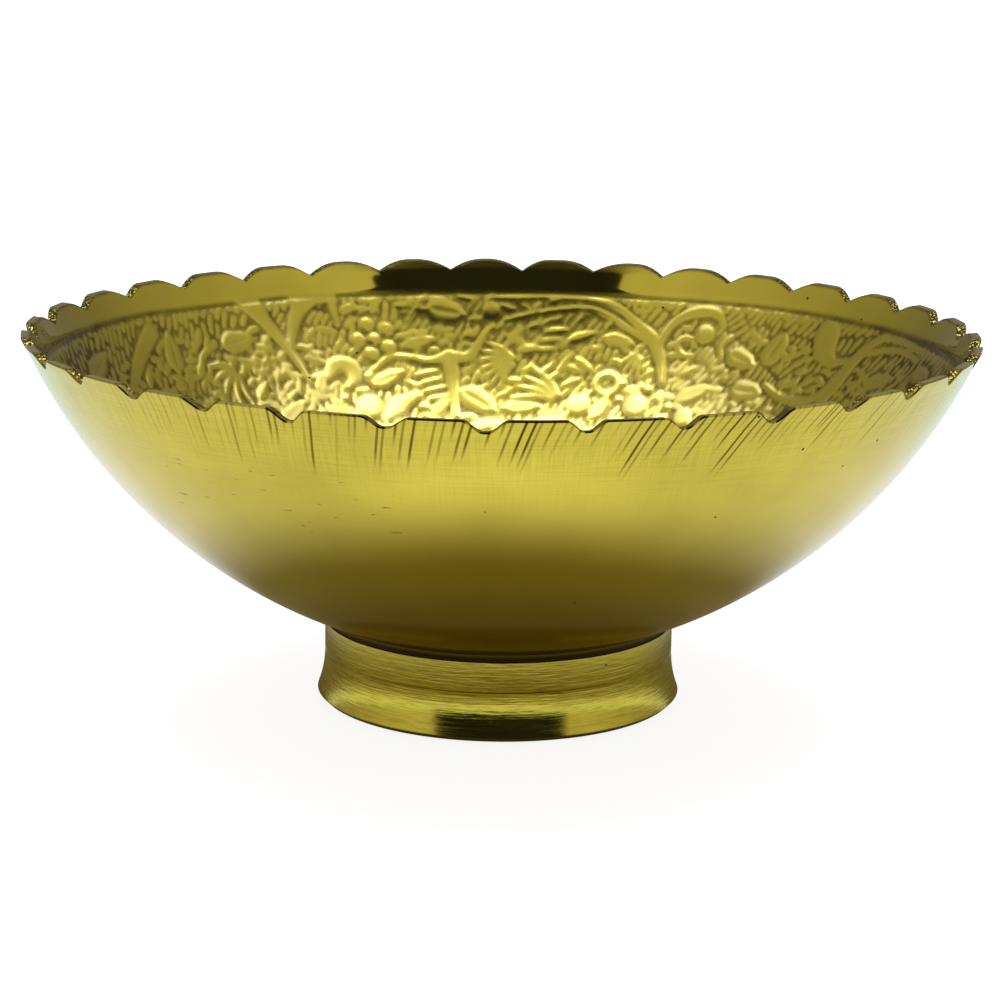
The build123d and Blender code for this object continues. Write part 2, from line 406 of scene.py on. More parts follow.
def back_middle_motifs(relief):
    """The rosettes, the fork and the ribbed leaves from azimuth 205 to 170."""
    relief.rosette(200.3, 15.4, 3.0, 5, 3.0)
    relief.leaf(203.6, 9.1, 3.2, 1.8, 20, vein=False)
    relief.leaf(193.3, 16.4, 6, 2.8, 14)
    relief.stroke([(191.4, 6.8), (192.9, 9.4), (194.6, 12.2)], [0.8, 1.0, 0.7])
    relief.leaf(188.4, 10.4, 6.6, 5.0, -12)
    relief.berry(181.6, 10.2, 3.5)
    relief.stroke([(201.4, 21.6), (198.4, 19.2), (195.1, 19.3), (191.9, 20.2), (188.7, 19.4)],
                  [0.9, 1.3, 1.4, 1.7, 2.6])
    relief.stroke([(188.7, 19.4), (185.6, 19.6), (184, 17.4), (182.7, 15), (181.4, 13.2)],
                  [2.8, 2.4, 1.8, 1.5, 0.9])
    relief.stroke([(188.5, 19.6), (188.3, 24), (188.3, 31.5)], [3.4, 2.3, 1.8])
    relief.leaf(199.2, 23.4, 6.5, 3.2, 24)
    for row in range(4):
        relief.leaf(192.5 - 0.5 * row, 22.6 + 1.7 * row, 4.6, 1.2, 14, vein=False, top=RIB_TOP)
    relief.berry(203.5, 29, 5.4)
    relief.stroke([(201.4, 31.8), (198.6, 29.2), (194.6, 27.2)], [1.6, 4.0, 2.0], LEAF_TOP, dome=True)
    relief.berry(193.6, 29.6, 2.2)
    relief.leaf(190.8, 29.6, 4.2, 2.6, 42)
    relief.leaf(184, 28.6, 7.2, 5.0, -36)
    relief.leaf(183, 33.6, 5.2, 2.8, 10)
    relief.fan(177.6, 20.4, 1.0, 6.4, 128, 226, 7, 1.3)


def back_right_motifs(relief):
    """The long branches and curls from azimuth 180 to 90."""
    relief.stroke([(181, 7.6), (174, 7.2), (167, 7.3)], [0.7, 0.9, 0.9])
    relief.stroke([(167.4, 7.3), (162.6, 8.9), (159.3, 11.6), (156.3, 14.4), (154.2, 18), (152.7, 23)],
                  [0.9, 1.3, 1.8, 2.7, 2.3, 1.4])
    long_branch = [(179.6, 12), (175, 10.6), (170.6, 9.6), (166.6, 9.3), (163, 11), (160, 13), (157.4, 14.3)]
    relief.stroke(long_branch, [0.8, 1.0, 1.0, 1.1, 1.2, 1.4, 1.7])
    for row in range(3):
        relief.leaf(171.6 + 0.6 * row, 13.9 + 1.9 * row, 4.4 - 0.5 * row, 1.5, 9, vein=False)
    relief.leaf(167.4, 14.8, 5.2, 2.0, 20, vein=False)
    relief.leaf(161.4, 15.3, 5.6, 3.0, -10)
    relief.fan(156.4, 16.4, 2.2, 6.2, 205, 250, 4, 1.0)
    relief.leaf(175.6, 17.8, 4, 2.2, 10, vein=False)
    relief.fan(169.4, 28.8, 1.8, 9.0, 112, 158, 4, 1.7)
    relief.leaf(166.4, 20.6, 4.2, 1.8, -40, vein=False)
    ring = [(162 + 1.9 * math.cos(t), 24.2 + 2.0 * math.sin(t)) for t in np.linspace(0, 2 * math.pi, 9)]
    relief.stroke(ring, [1.7] * len(ring), LEAF_TOP)
    relief.berry(166.2, 28.9, 4.7)
    relief.leaf(162.3, 29, 5.2, 3.2, 62)
    relief.berry(156, 28.1, 5.0)
    relief.leaf(176.2, 29.8, 7, 3.0, 4)
    relief.leaf(171.2, 32.4, 5, 2.2, 8)
    for azimuth, down in ((159.4, 27.2), (159.3, 23.8), (154.6, 24.6), (150.2, 27.6), (207.6, 26.8)):
        relief.berry(azimuth, down, 1.6)
    relief.stroke([(155, 15.8), (153.9, 12), (152.2, 9.6), (149.2, 8.2), (146.6, 8.6), (145.3, 10.4)],
                  [1.9, 1.7, 1.9, 2.3, 1.8, 0.9])
    relief.berry(147.9, 12.5, 4.0)
    relief.stroke([(149.6, 13.6), (151.4, 13.8), (151.9, 15.3), (150.7, 16.9), (148.9, 16.9)],
                  [0.8, 1.2, 1.4, 1.2, 0.7])
    relief.stroke([(143.4, 12.3), (144.7, 14.4), (143.9, 16.6)], [0.7, 1.3, 0.7])
    relief.leaf(146.4, 24.2, 6.6, 3.4, 30)
    relief.leaf(140.1, 16.4, 6, 4.0, -15)
    relief.leaf(134.8, 13.2, 5.6, 4.8, 70)
    relief.leaf(136.8, 22.2, 6, 4.4, 5)
    relief.berry(146.6, 29.4, 4)
    relief.stroke([(126.3, 9.4), (125.7, 11.6), (123.6, 13.6), (121.5, 13.4), (119.2, 12.4)],
                  [5.8, 5.2, 2.6, 1.4, 0.7], LEAF_TOP, dome=True)
    relief.stroke([(114.2, 7.0), (117, 9.6), (118.7, 13), (120, 17.4), (120.8, 22)],
                  [1.2, 2.2, 2.8, 3.8, 2.4])
    relief.stroke([(114.2, 7.0), (109, 6.9), (103, 7.3)], [0.9, 0.9, 0.8])
    relief.stroke([(117.6, 11), (113, 9.2), (108, 8.3), (103, 8.8)], [1.4, 1.0, 0.9, 0.8])
    relief.stroke([(134, 20.4), (129, 22.2), (123.5, 21.4), (120.4, 18)], [1.0, 1.9, 2.0, 2.2])
    relief.leaf(110, 14.4, 8, 3.2, 16)
    relief.leaf(99.6, 10.6, 6.5, 3.4, 10)
    relief.leaf(128, 28, 7, 3.6, 150)
    relief.leaf(112, 24, 8, 4, 40)
    relief.leaf(97, 20, 8, 4.4, 60)


def lower_motifs(relief):
    """Rings of scrolls below the hand-cut band, a plain raised ring, and a rosette at the centre."""
    scrolls = 12
    step = 360 / scrolls
    relief.stroke([(-16, 37), (-9, 42), (-2, 49), (6, 51.5), (11, 47), (8, 41.5), (3, 43)],
                  [1.0, 1.7, 2.0, 2.0, 1.8, 1.4, 0.9], period=step)
    relief.berry(5.8, 45.8, 3.6, period=step)
    relief.leaf(-8, 49, 7.5, 3.6, 55, period=step)
    relief.leaf(-4, 39.5, 6, 2.8, 20, period=step)
    relief.leaf(1, 56.4, 5.5, 2.6, 0, period=step)
    relief.leaf(-13.5, 56, 4.8, 2.4, 60, period=step)
    for down, width in ((61.5, 0.9), (64, 1.8)):
        relief.stroke([(-10, down), (0, down), (10, down)], [width] * 3, period=20)
    petals = 12
    step = 360 / petals
    petal = [(0, 68), (0, 73), (0, 79), (0, 85)]
    relief.stroke(petal, [1.5, 7.4, 5.6, 1.6], BERRY_TOP, dome=True, period=step)
    relief.cut([(0, 69.5), (0, 76), (0, 83)], 0.7, 0.3, period=step)
    relief.leaf(15, 69, 4.2, 2.4, 90, vein=False, period=step)
    relief.stroke([(-30, 87), (0, 87), (30, 87)], [1.3] * 3, period=60)


def hatch(down, azimuth):
    """Short leaning ridges that fill the ground between the motifs."""
    lean = math.radians(HATCH_LEAN_DEG)
    height = np.zeros((len(down), len(azimuth)))
    for top, bottom in ((0, 36), (36, 62), (62, 80), (80, 200)):
        rows = np.where((down >= top) & (down < bottom))[0]
        if not len(rows):
            continue
        middle = min((top + bottom) / 2, INNER_LENGTH - 6)
        radius = float(wall_point(INNER_Z, INNER_RADIUS, np.array(middle))[0])
        lines = round(2 * math.pi * radius * math.sin(lean) / HATCH_PITCH)
        across = down[rows][:, None]
        turn = turn_between(azimuth, 180)[None, :]
        wobble = 0.65 * noise(turn * 0.9, across, 0, 4, 21)
        phase = lines * turn / 360 - math.cos(lean) / HATCH_PITCH * across + wobble
        row = np.floor(phase)
        # Each row gets its own number from 0 to 1, which moves and stretches its ridges.
        scatter = np.sin(row * 12.9898 + 4.1) * 43758.5453
        offset = scatter - np.floor(scatter)
        along = -np.radians(turn) * radius * math.cos(lean) - across * math.sin(lean)
        piece = (along / (3.4 + 1.6 * offset) + 0.8 * offset) % 1
        window = smooth_step((0.5 - np.abs(piece - 0.5)) / 0.25)
        ridge = (0.5 + 0.5 * np.cos(2 * np.pi * (phase - row - 0.5))) ** 0.9
        height[rows] = ridge * window * (0.7 + 0.6 * offset)
    return height


def blurred(grid, passes):
    """A grid blurred a little with each pass; its columns run right round."""
    for _ in range(passes):
        grid = (np.roll(grid, 1, 1) + 2 * grid + np.roll(grid, -1, 1)) / 4
        padded = np.pad(grid, ((1, 1), (0, 0)), "edge")
        grid = (padded[:-2] + 2 * grid + padded[2:]) / 4
    return grid


def fill_motifs(relief):
    """Small leaves scattered over the ground between the motifs, but not at the top of the two sides."""
    rng = np.random.default_rng(11)
    cover = relief.cover.copy()
    for _ in range(FILL_COUNT):
        azimuth, down = rng.uniform(0, 180), rng.uniform(6.8, 36)
        if down < 11.5 and 22 < azimuth < 158:
            continue
        length, width, tilt = rng.uniform(1.6, 3.6), rng.uniform(0.7, 1.4), rng.uniform(-25, 75)
        row = np.searchsorted(relief.down, down)
        column = np.searchsorted(relief.azimuth, azimuth)
        if row < len(relief.down) and cover[row, column] < 0.4:
            relief.leaf(azimuth, down, length, width, tilt, vein=False, top=FILL_TOP * rng.uniform(0.3, 1))


def relief_height(down, azimuth):
    """Height of the inner surface above its bare wall, and how deep in the pattern each point lies."""
    relief = Relief(down, azimuth)
    lower_motifs(relief)
    back_left_motifs(relief)
    back_middle_motifs(relief)
    back_right_motifs(relief)
    fill_motifs(relief)
    a = np.radians(azimuth)[None, :]
    deep = down[:, None]
    radius = wall_point(INNER_Z, INNER_RADIUS, down)[0][:, None]
    x, y = radius * np.sin(a), -radius * np.cos(a)
    strength = 0.95 + 0.35 * noise(x, y, deep, 13, 36)
    strokes = hatch(down, azimuth) * (1 - relief.cover) * strength
    ground = GROUND + HATCH_TOP * strokes
    ground = ground + 0.03 * noise(x, y, deep, 2.6, 31)
    field = np.maximum(ground, relief.height + 0.02 * noise(x, y, deep, 3.5, 32))
    field = field + 0.05 * noise(x, y, deep, 8.0, 33)
    wander = GROOVE_WANDER * np.cos(2 * (a - math.radians(183)))
    groove_down = GROOVE_DOWN + wander + 0.2 * noise(x, y, 0, 12, 34)
    past = smooth_step((deep - groove_down - 0.1) / 1.1)
    lip = 0.04 * noise(x, y, deep, 14, 35) * smooth_step(deep / 3)
    stem_over = smooth_step(relief.height / STEM_TOP)
    sideways = np.sin(a) ** 2
    groove_width = 0.4 + 0.2 * sideways
    groove = np.exp(-((deep - groove_down - 0.2) / groove_width) ** 2) * (1 - 0.8 * stem_over)
    field = field * (1 + SIDE_EXTRA * sideways)
    height = blurred(lip * (1 - past) + field * past - GROOVE_DEPTH * groove, SOFTENING_PASSES)
    cavity = blurred(height, CAVITY_PASSES) - height
    between = (1 - strokes) * (1 - relief.cover)
    patches = 0.5 + 0.5 * noise(x, y, deep, 4, 37)
    deep_cavity = 0.03 + 0.015 * sideways
    recess = smooth_step(0.1 + cavity / deep_cavity + 0.75 * patches * between**2)
    return height, np.clip(recess * past + 0.9 * groove, 0, 1)


# -------- meshes

def ring_points(radius, height, azimuth):
    """Points round the axis, in metres."""
    a = np.radians(azimuth)
    level = np.broadcast_to(height, a.shape)
    return np.stack([radius * np.sin(a), -radius * np.cos(a), level], -1) * MM


def ring_faces(start, count, next_start, next_count):
    """Faces between two rings, where the second has as many points as the first, or half or twice."""
    if next_count > count:
        return [face[::-1] for face in ring_faces(next_start, next_count, start, count)]
    index = np.arange(next_count)
    after = (index + 1) % next_count
    if next_count == count:
        quads = np.stack([start + index, start + after, next_start + after, next_start + index], 1)
        return quads.tolist()
    first, middle, last = 2 * index, 2 * index + 1, (2 * index + 2) % count
    near, far = next_start + index, next_start + after
    triangles = [
        np.stack([start + first, start + middle, near], 1),
        np.stack([start + middle, far, near], 1),
        np.stack([start + middle, start + last, far], 1),
    ]
    return np.concatenate(triangles).tolist()


def turned_mesh(name, rings, first_pole, last_pole, **attributes):
    """A closed mesh from a list of rings of points, with a pole at each end.

    An attribute's numbers follow the rings' points, and any points left over get 0.
    """
    points = np.concatenate(rings)
    counts = [len(ring) for ring in rings]
    starts = np.concatenate([[0], np.cumsum(counts)])[:-1]
    faces = []
    for k in range(len(rings) - 1):
        faces += ring_faces(starts[k], counts[k], starts[k + 1], counts[k + 1])
    pole = len(points)
    points = np.vstack([points, first_pole, last_pole])
    faces += [[pole, (i + 1) % counts[0], i] for i in range(counts[0])]
    faces += [[pole + 1, starts[-1] + i, starts[-1] + (i + 1) % counts[-1]] for i in range(counts[-1])]
    mesh = bpy.data.meshes.new(name)
    mesh.from_pydata(points.tolist(), [], faces)
    mesh.shade_smooth()
    mesh.set_sharp_from_angle(angle=math.radians(SHARP_DEG))
    for key, values in attributes.items():
        layer = mesh.attributes.new(key, "FLOAT", "POINT")
        padded = np.zeros(len(points), np.float32)
        padded[:len(values)] = values
        layer.data.foreach_set("value", padded)
    mesh.update()
    piece = bpy.data.objects.new(name, mesh)
    bpy.context.scene.collection.objects.link(piece)
    return piece


def column_azimuths(count):
    """Azimuths of a ring's points."""
    return np.arange(count) * 360 / count


def columns_at(radius):
    """Points in a ring: as many as at the rim, halved each time that the ring gets small enough."""
    count = COLUMNS
    while count > FEWEST_COLUMNS and radius < RIM_RADIUS * 0.52 * count / COLUMNS:
        count //= 2
    return count


def inner_rings():
    """Rings of the inside from the centre up to the rim, with the relief on them."""
    on_lip = np.arange(LIP_STEP / 2, LIP_END, LIP_STEP)
    downs = np.concatenate([on_lip, np.arange(LIP_END, INNER_LENGTH - 0.3, INNER_STEP)])
    radii = wall_point(INNER_Z, INNER_RADIUS, downs)[0]
    counts = np.array([columns_at(radius) for radius in radii])
    rings, recesses = [None] * len(downs), [None] * len(downs)
    for count in np.unique(counts):
        rows = np.where(counts == count)[0]
        azimuth = column_azimuths(count)
        height, recess = relief_height(downs[rows], azimuth)
        drop = rim_drop(azimuth)
        for place, row in enumerate(rows):
            stretch = max(0, 1 - downs[row] / LIP_BLEND)
            down = downs[row] + drop * stretch / math.sin(math.radians(RIM_WALL_DEG))
            radius, z, normal_r, normal_z = wall_point(INNER_Z, INNER_RADIUS, down)
            raised = height[place]
            rings[row] = ring_points(radius + normal_r * raised, z + normal_z * raised, azimuth)
            recesses[row] = recess[place]
    return rings[::-1], recesses[::-1]


def rim_rings():
    """Rings over the filed top of the rim, which falls a little inwards, and over the bevel outside it."""
    azimuth = column_azimuths(COLUMNS)
    top = RIM_HEIGHT - rim_drop(azimuth)
    low = top - RIM_BEVEL
    inner_edge = wall_radius(INNER_Z, INNER_RADIUS, top - RIM_FALL)
    outer_edge = outer_radius(top) - RIM_BEVEL
    return [
        ring_points(inner_edge, top - RIM_FALL, azimuth),
        ring_points((inner_edge + outer_edge) / 2, top - RIM_FALL / 2, azimuth),
        ring_points(outer_edge, top, azimuth),
        ring_points(outer_radius(low), low, azimuth),
    ]


def outer_profile():
    """(radius, height) points down the outside, from under the rim to the centre."""
    blend_r = FOOT_TOP_RADIUS + SEAT_BLEND
    blend_z = ARC_CENTRE_Z - math.sqrt(ARC_RADIUS**2 - (blend_r - ARC_CENTRE_R) ** 2)
    near_rim = np.arange(RIM_HEIGHT - 0.5, RIM_HEIGHT - 8, -0.4)
    further_down = np.arange(RIM_HEIGHT - 8, blend_z, -0.9)
    profile = [(float(outer_radius(z)), z) for z in np.concatenate([near_rim, further_down])]
    for turn in np.linspace(0, math.pi / 2, 8):
        radius = blend_r - SEAT_BLEND * (1 - math.cos(turn))
        profile.append((radius, blend_z - (blend_z - SEAT_Z) * math.sin(turn)))
    seat_r = float(wall_radius(ARC_CENTRE_Z, ARC_RADIUS, SEAT_Z))
    profile.append((seat_r, SEAT_Z))
    for down in np.arange(OUTER_LENGTH - seat_r + 2, OUTER_LENGTH - 1, 1.0):
        radius, height = wall_point(ARC_CENTRE_Z, ARC_RADIUS, down)[:2]
        profile.append((float(radius), float(height)))
    return profile


def outer_rings():
    """Rings of the outside, from under the rim to the centre, slightly uneven as cast brass is."""
    rings = []
    for radius, height in outer_profile():
        count = COLUMNS
        for share, below in ((2, RIM_HEIGHT - 5), (4, RIM_HEIGHT - 7), (8, FOOT_TOP_Z + 3)):
            if height < below:
                count = COLUMNS // share
        azimuth = column_azimuths(count)
        a = np.radians(azimuth)
        z = height - rim_drop(azimuth) * max(0, 1 - (RIM_HEIGHT - height) / LIP_BLEND)
        r = radius + outer_radius(z) - outer_radius(height)
        swell = 0.05 * noise(r * np.sin(a), r * np.cos(a), z, 22, 41)
        swell = swell * min(1, (RIM_HEIGHT - height) / 6) * (height > SEAT_Z + 2)
        rings.append(ring_points(r + swell, z, azimuth))
    return rings


def rim_dirt_and_shade():
    """Dirt and painted shade on the rim's four rings: thickest at its inner edge, at the back and in
    the notches.

    Values over 0.9 start to be a dry crust of dirt and painted shade.
    """
    azimuth = column_azimuths(COLUMNS)
    back = (1 - np.cos(np.radians(azimuth))) / 2
    drop = rim_drop(azimuth)
    run = 2 * math.radians(360 / COLUMNS) * RIM_RADIUS
    slope = np.abs(np.roll(drop, -1) - np.roll(drop, 1)) / run
    in_notch = smooth_step((slope - 0.05) / 0.3)
    inner_edge = np.minimum(1.2 + 0.2 * back + 0.3 * in_notch, 1.5)
    middle = np.minimum(0.2 + 0.5 * back + 0.9 * in_notch, 1.35)
    outer_edge = np.minimum(0.1 + 0.8 * back + 0.9 * in_notch, 1.3)
    return [inner_edge, middle, outer_edge, 0.2 * outer_edge]


def lip_gloss(height):
    """1 on the polished band of the plain lip, less above it towards the rim, and 0 below it."""
    rise = np.clip(1 - (RIM_HEIGHT * MM - height) / (LIP_HEIGHT * MM), 0, 1)
    return smooth_step((rise - 0.18) / 0.1) * (1 - 0.85 * smooth_step((rise - 0.62) / 0.2))


def make_bowl():
    """The cast bowl as one closed mesh: relief inside, filed rim, plain outside."""
    inner, recesses = inner_rings()
    outer = outer_rings()
    dirt_and_shade = rim_dirt_and_shade()
    # The rim's rings and the top ring inside carry the rim's dirt and painted shade in the recess attribute.
    recesses[-1] = dirt_and_shade[0] * 0.5
    recess = np.concatenate(recesses + dirt_and_shade)
    lip = np.concatenate([lip_gloss(ring[:, 2]) for ring in inner])
    inside = np.ones(len(lip))
    centre_in = [0, 0, inner[0][:, 2].mean()]
    centre_out = [0, 0, outer[-1][:, 2].mean()]
    rings = inner + rim_rings() + outer
    return turned_mesh("bowl_casting", rings, centre_in, centre_out, recess=recess, inside=inside, lip=lip)


# -------- materials

class Nodes:
    """Short ways to make and join shader nodes."""

    def __init__(self, name):
        self.material = bpy.data.materials.new(name)
        self.material.use_nodes = True
        self.tree = self.material.node_tree
        self.shader = self.tree.nodes["Principled BSDF"]

    def node(self, kind, **settings):
        """A node with its properties set."""
        made = self.tree.nodes.new(kind)
        for key, value in settings.items():
            setattr(made, key, value)
        return made

    def put(self, socket, value):
        """Links a socket to another, or sets its value."""
        if isinstance(value, bpy.types.NodeSocket):
            self.tree.links.new(value, socket)
        else:
            socket.default_value = value

    def surface(self, name, value):
        """Links or sets one of the shader's inputs."""
        self.put(self.shader.inputs[name], value)

    def math(self, operation, *values, clamp=False):
        """A Math node's output."""
        made = self.node("ShaderNodeMath", operation=operation, use_clamp=clamp)
        for socket, value in zip(made.inputs, values):
            self.put(socket, value)
        return made.outputs[0]

    def times(self, first, second):
        """One number times another."""
        return self.math("MULTIPLY", first, second)

    def gap(self, first, second):
        """The distance between two numbers."""
        return self.math("ABSOLUTE", self.math("SUBTRACT", first, second))

    def range(self, value, low, high, to_low=0.0, to_high=1.0):
        """A value's range stretched to another, clamped at both ends."""
        made = self.node("ShaderNodeMapRange", interpolation_type="SMOOTHSTEP")
        for socket, setting in zip(made.inputs, (value, low, high, to_low, to_high)):
            self.put(socket, setting)
        return made.outputs[0]

    def mix(self, share, first, second):
        """Two colours mixed."""
        made = self.node("ShaderNodeMix", data_type="RGBA")
        self.put(made.inputs[0], share)
        self.put(made.inputs[6], first)
        self.put(made.inputs[7], second)
        return made.outputs[2]

    def attribute(self, name):
        """A number kept on the mesh's points."""
        return self.node("ShaderNodeAttribute", attribute_name=name).outputs["Fac"]

    def noise(self, vector, scale, detail=2.0, roughness=0.5):
        """A Noise texture's value."""
        made = self.node("ShaderNodeTexNoise")
        self.put(made.inputs["Vector"], vector)
        self.put(made.inputs["Scale"], scale)
        self.put(made.inputs["Detail"], detail)
        self.put(made.inputs["Roughness"], roughness)
        return made.outputs["Fac"]

    def join(self, x, y, z):
        """A vector from three numbers."""
        made = self.node("ShaderNodeCombineXYZ")
        for socket, value in zip(made.inputs, (x, y, z)):
            self.put(socket, value)
        return made.outputs[0]

    def bump(self, height, strength, distance):
        """A Bump node onto the shader's normal."""
        made = self.node("ShaderNodeBump")
        self.put(made.inputs["Height"], height)
        self.put(made.inputs["Strength"], strength)
        self.put(made.inputs["Distance"], distance)
        self.surface("Normal", made.outputs[0])

    def place(self):
        """Object coordinates in millimetres: the whole vector, azimuth in radians, and height."""
        vector = self.node("ShaderNodeTexCoord").outputs["Object"]
        scaled = self.node("ShaderNodeVectorMath", operation="SCALE")
        self.put(scaled.inputs[0], vector)
        self.put(scaled.inputs["Scale"], 1 / MM)
        parts = self.node("ShaderNodeSeparateXYZ")
        self.put(parts.inputs[0], scaled.outputs[0])
        azimuth = self.math("ARCTAN2", parts.outputs[0], self.times(parts.outputs[1], -1.0))
        return scaled.outputs[0], azimuth, parts.outputs[2]


# Colours of the brass. The patina colour is also painted as shade, and the edge dirt colour as the rim's
# dirt and painted shade.
BRASS = (0.64, 0.53, 0.062, 1)
PATINA_AND_SHADE = (0.105, 0.066, 0.006, 1)
MARK = (0.08, 0.04, 0.004, 1)
EDGE_DIRT_AND_SHADE = (0.03, 0.025, 0.004, 1)
SOOT = (0.03, 0.014, 0.008, 1)

# The glowing floor as the brass sees it, from under the foot outwards: a painted shadow under the foot, then
# white.
DEEP_SHADOW = (0.12, 0.09, 0.035, 1)
SHADOW = (0.2, 0.165, 0.07, 1)
NEAR_FLOOR = (1.0, 1.02, 1.15, 1)
FAR_FLOOR = (0.84, 1.05, 1.08, 1)


def file_marks(nodes, azimuth, height):
    """Leaning dark file marks that start at the rim, each with its own place, length and strength."""
    pitch = 1.35
    below = nodes.math("SUBTRACT", RIM_HEIGHT, height)
    slope = nodes.math("MULTIPLY_ADD", azimuth, 0.5, 0.33)
    along = nodes.math("MULTIPLY_ADD", below, slope, nodes.times(azimuth, RIM_RADIUS))
    count = nodes.math("DIVIDE", along, pitch)
    cell = nodes.math("FLOOR", count)
    dice = nodes.node("ShaderNodeTexWhiteNoise", noise_dimensions="1D")
    nodes.put(dice.inputs["W"], cell)
    throw = nodes.node("ShaderNodeSeparateColor")
    nodes.put(throw.inputs[0], dice.outputs["Color"])
    place = nodes.math("MULTIPLY_ADD", throw.outputs[0], 0.5, 0.25)
    line = nodes.range(nodes.gap(nodes.math("FRACT", count), place), 0.07, 0.22, 1.0, 0.0)
    reach = nodes.math("MULTIPLY_ADD", throw.outputs[1], 8.0, 3.0)
    left = nodes.math("SUBTRACT", reach, below)
    strong = nodes.math("POWER", throw.outputs[2], 0.7)
    front = nodes.range(nodes.gap(azimuth, 0.15), 0.3, 1.0, 1.0, 0.25)
    marks = nodes.times(line, nodes.range(left, 0.0, 4.0))
    return nodes.times(nodes.times(marks, strong), front)


def scratches(nodes, azimuth, height):
    """A few short level scratches left of the front, below the file marks."""
    along = nodes.times(azimuth, RIM_RADIUS * 0.32)
    streak = nodes.noise(nodes.join(along, nodes.times(height, 2.4), 9.0), 1.0)
    near_turn = nodes.range(nodes.gap(azimuth, -0.5), 0.15, 0.5, 1.0, 0.0)
    near_height = nodes.range(nodes.gap(height, 45.0), 3.0, 7.0, 1.0, 0.0)
    near = nodes.times(near_turn, near_height)
    return nodes.times(nodes.range(streak, 0.68, 0.74), near)


def brushed(nodes, run, height, run_scale, height_scale, seed, detail=2.0):
    """Noise drawn out into lines, finer the way that has the larger scale."""
    across = nodes.times(run, run_scale)
    up = nodes.times(height, height_scale)
    return nodes.noise(nodes.join(across, up, seed), 1.0, detail)


def linen(nodes, azimuth, height):
    """Fine crossed polishing lines: the value goes from 0 to 1."""
    run = nodes.times(azimuth, RIM_RADIUS)
    upright = brushed(nodes, run, height, 3.6, 0.12, 0.0)
    level = brushed(nodes, run, height, 0.1, 3.6, 5.0)
    return nodes.times(nodes.math("ADD", upright, level), 0.5)


def pits(nodes, place):
    """A few tiny casting pits."""
    cells = nodes.node("ShaderNodeTexVoronoi")
    nodes.put(cells.inputs["Vector"], place)
    nodes.put(cells.inputs["Scale"], 0.16)
    dot = nodes.range(cells.outputs["Distance"], 0.025, 0.048, 1.0, 0.0)
    pick = nodes.node("ShaderNodeSeparateColor")
    nodes.put(pick.inputs[0], cells.outputs["Color"])
    return nodes.times(dot, nodes.math("GREATER_THAN", pick.outputs[0], 0.45))


def recess_patina_and_rim_shade(nodes, place):
    """Patina down in the relief, patina and painted shade on the rim, and the dry crust of dirt and painted
    shade on the rim's edges, which is bare in flecks.
    """
    recess = nodes.attribute("recess")
    stain = nodes.range(nodes.noise(place, 0.35, 4.0, 0.6), 0.3, 0.7, 0.65, 1.0)
    # The rim's values over 0.9 give a dark crust of dirt and painted shade.
    at_edge = nodes.range(recess, 0.9, 1.4)
    crust = nodes.range(nodes.noise(place, 3.0), 0.36, 0.5, 0.3, 1.0)
    edge_dirt_and_shade = nodes.times(at_edge, crust)
    bare = nodes.math("SUBTRACT", 1.0, nodes.math("SUBTRACT", at_edge, edge_dirt_and_shade))
    dark = nodes.times(nodes.times(recess, stain), bare)
    return dark, edge_dirt_and_shade


def tarnish_and_side_shade(nodes, place, azimuth, inside):
    """Faint tarnish in clouds, and painted shade at the two sides inside."""
    cloud = nodes.range(nodes.noise(place, 0.06, 3.0, 0.6), 0.3, 0.7, 0.0, 0.12)
    # Painted shade at the two sides inside.
    aside = nodes.math("ABSOLUTE", nodes.math("SINE", azimuth))
    return nodes.math("MULTIPLY_ADD", nodes.range(aside, 0.9, 1.0, 0.0, 0.35), inside, cloud)


